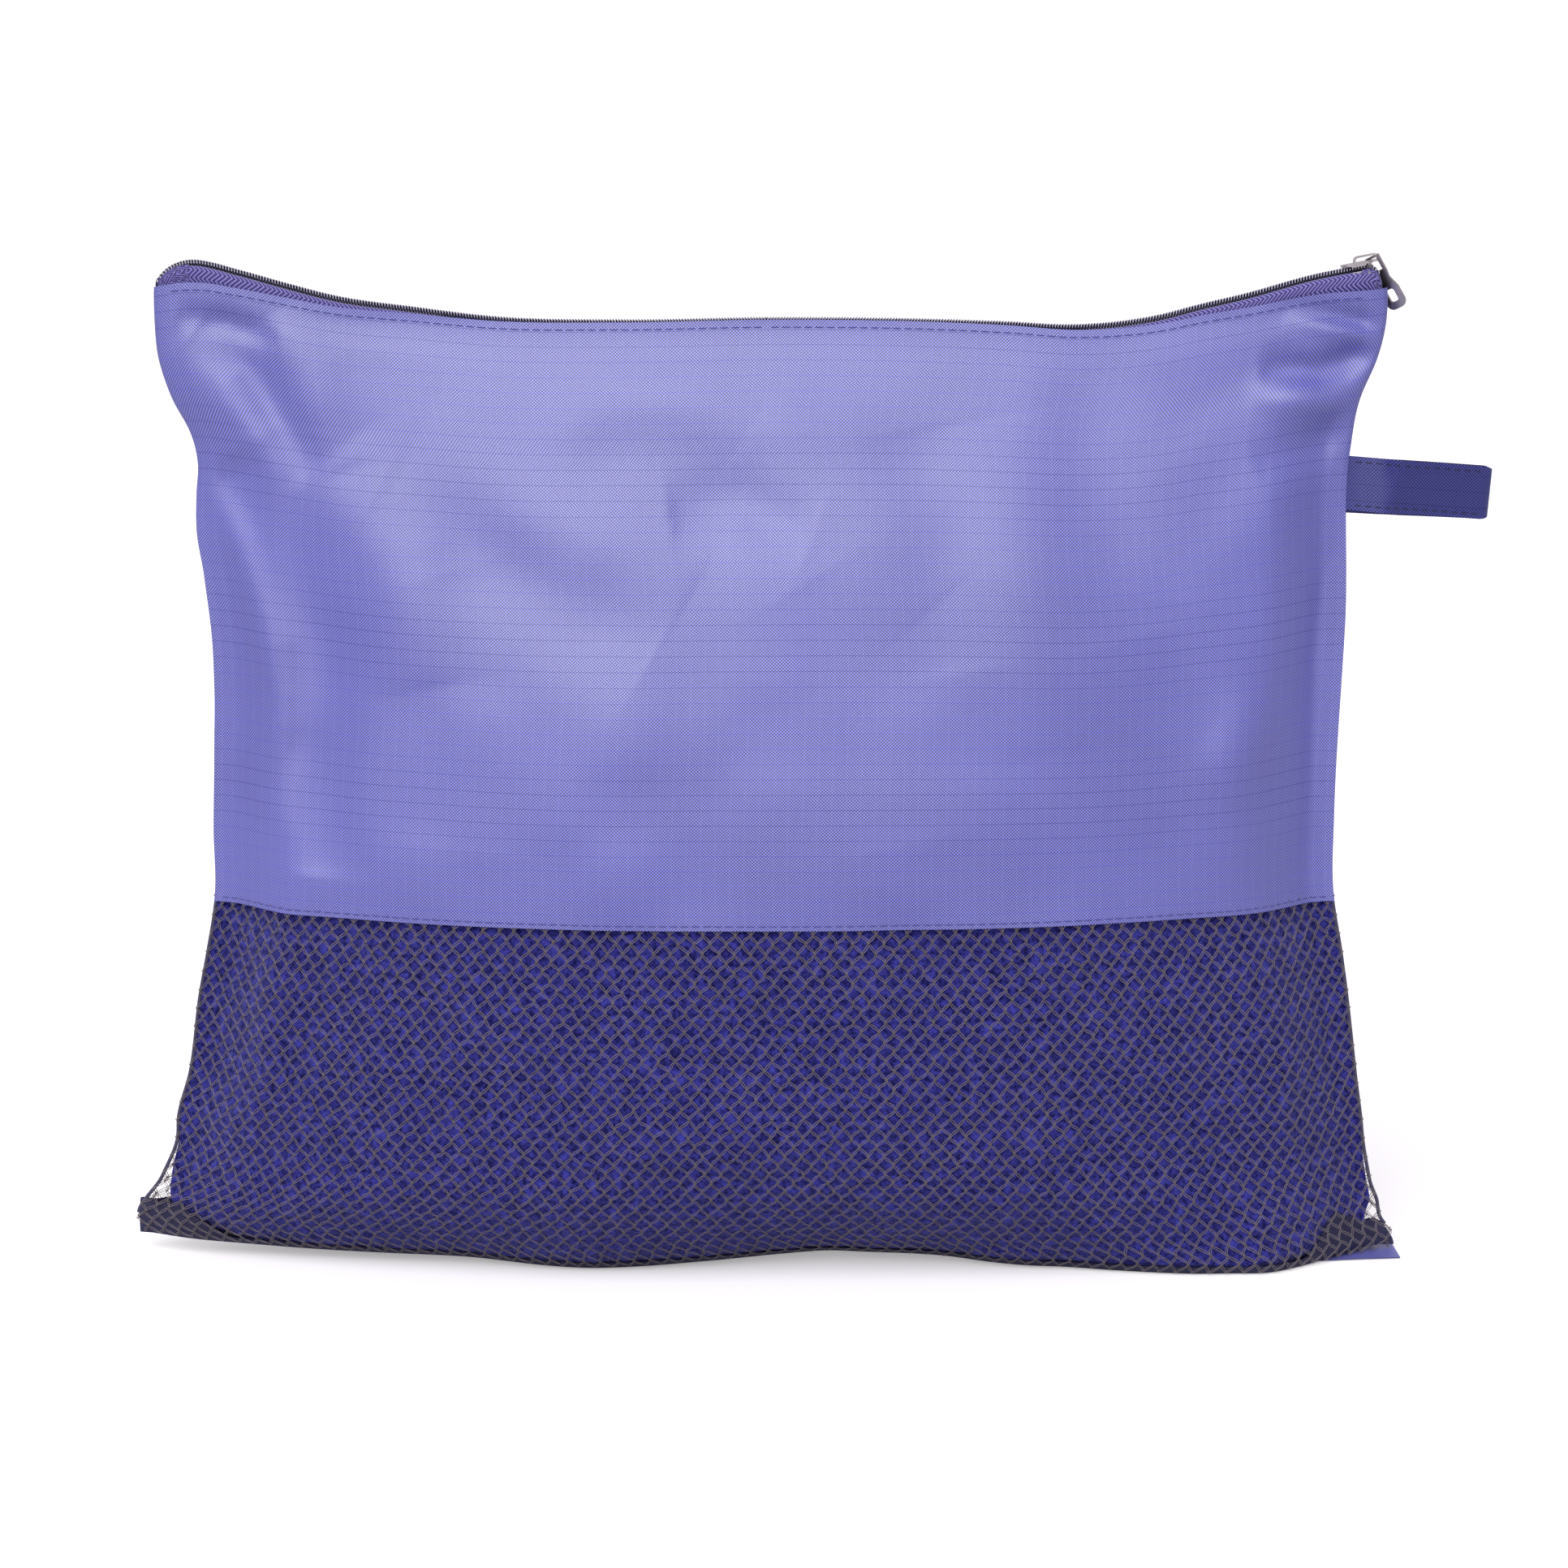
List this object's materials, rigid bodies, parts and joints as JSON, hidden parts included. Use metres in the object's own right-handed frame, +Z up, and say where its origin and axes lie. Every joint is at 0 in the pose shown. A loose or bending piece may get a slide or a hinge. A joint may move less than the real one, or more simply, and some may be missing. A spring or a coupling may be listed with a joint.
{
  "type": "packing cube",
  "caption": "Soft zipped travel pouch: ripstop upper half, open mesh lower half, curved coil zip along the top, a side grab loop, and a folded fleece inside.",
  "frame": {"origin": "middle of the flat base of the bottom band", "axes": "+X to the right along the zip, towards the side loop; +Y from the front face to the back face; +Z up"},
  "size_m": [0.4344, 0.097, 0.3232],
  "materials": {
    "ripstop": "matt ripstop nylon with a fine grid",
    "ripstop_trim": "matt ripstop nylon, folded",
    "mesh": "knotted polyester net of twisted threads",
    "fleece": "brushed fleece",
    "zip_tape": "herringbone woven tape",
    "zip_coil": "nylon coil with soft highlights",
    "zip_metal": "tumbled nickel plating",
    "loop_webbing": "dense twill strip",
    "thread": "spun polyester sewing thread"
  },
  "bodies": {
    "root": {"front_panel": "ripstop", "front_mesh": "mesh", "front_hem_stitching": "thread", "back_panel": "ripstop", "back_mesh": "mesh", "back_hem_stitching": "thread", "fleece_throw": "fleece", "bottom_band": "ripstop_trim", "left_seam_binding": "ripstop_trim", "left_seam_stitching": "thread", "left_tape_end": "zip_tape", "right_seam_binding": "ripstop_trim", "right_seam_stitching": "thread", "right_tape_end": "zip_tape"},
    "front_left_lip": {"front_left_panel_edge": "ripstop", "front_left_topstitching": "thread", "front_left_tape": "zip_tape", "front_left_coil": "zip_coil"},
    "front_right_lip": {"front_right_panel_edge": "ripstop", "front_right_topstitching": "thread", "front_right_tape": "zip_tape", "front_right_coil": "zip_coil"},
    "back_left_lip": {"back_left_panel_edge": "ripstop", "back_left_topstitching": "thread", "back_left_tape": "zip_tape", "back_left_coil": "zip_coil"},
    "back_right_lip": {"back_right_panel_edge": "ripstop", "back_right_topstitching": "thread", "back_right_tape": "zip_tape", "back_right_coil": "zip_coil"},
    "slider": {"slider_body": "zip_metal", "slider_bail": "zip_metal"},
    "pull_tab": {"pull_tab": "zip_metal"},
    "side_loop": {"side_loop": "loop_webbing", "loop_stitching": "thread"}
  },
  "joints": [
    {"name": "zip_travel", "type": "hinge", "parent": "root", "child": "slider", "pos_m": [0, 0, 1.2705], "axis": [0, 1, 0], "range_deg": [0, 21.4], "deforming": ["front_left_tape", "front_left_coil", "front_right_tape", "front_right_coil", "back_left_tape", "back_left_coil", "back_right_tape", "back_right_coil", "right_tape_end"]},
    {"name": "pull_tab_swing", "type": "hinge", "parent": "slider", "child": "pull_tab", "pos_m": [0.18931, 0, 0.32184], "axis": [0, -1, 0], "range_deg": [0, 215]},
    {"name": "side_loop_swing", "type": "hinge", "parent": "root", "child": "side_loop", "pos_m": [0.1845, 0, 0.25], "axis": [0, 0, 1], "range_deg": [-65, 65]},
    {"name": "front_left_mouth", "type": "hinge", "parent": "root", "child": "front_left_lip", "pos_m": [-0.188, -0.0141, 0.28], "axis": [0, 0, -1], "range_deg": [0, 8]},
    {"name": "front_right_mouth", "type": "hinge", "parent": "root", "child": "front_right_lip", "pos_m": [0.188, -0.0141, 0.28], "axis": [0, 0, 1], "range_deg": [0, 8]},
    {"name": "back_left_mouth", "type": "hinge", "parent": "root", "child": "back_left_lip", "pos_m": [-0.188, 0.0141, 0.28], "axis": [0, 0, 1], "range_deg": [0, 8]},
    {"name": "back_right_mouth", "type": "hinge", "parent": "root", "child": "back_right_lip", "pos_m": [0.188, 0.0141, 0.28], "axis": [0, 0, -1], "range_deg": [0, 8]}
  ],
  "couplings": [
    {"joint": "front_left_mouth", "follows": "zip_travel", "ratio": 0.3735},
    {"joint": "front_right_mouth", "follows": "zip_travel", "ratio": 0.3735},
    {"joint": "back_left_mouth", "follows": "zip_travel", "ratio": 0.3735},
    {"joint": "back_right_mouth", "follows": "zip_travel", "ratio": 0.3735}
  ]
}
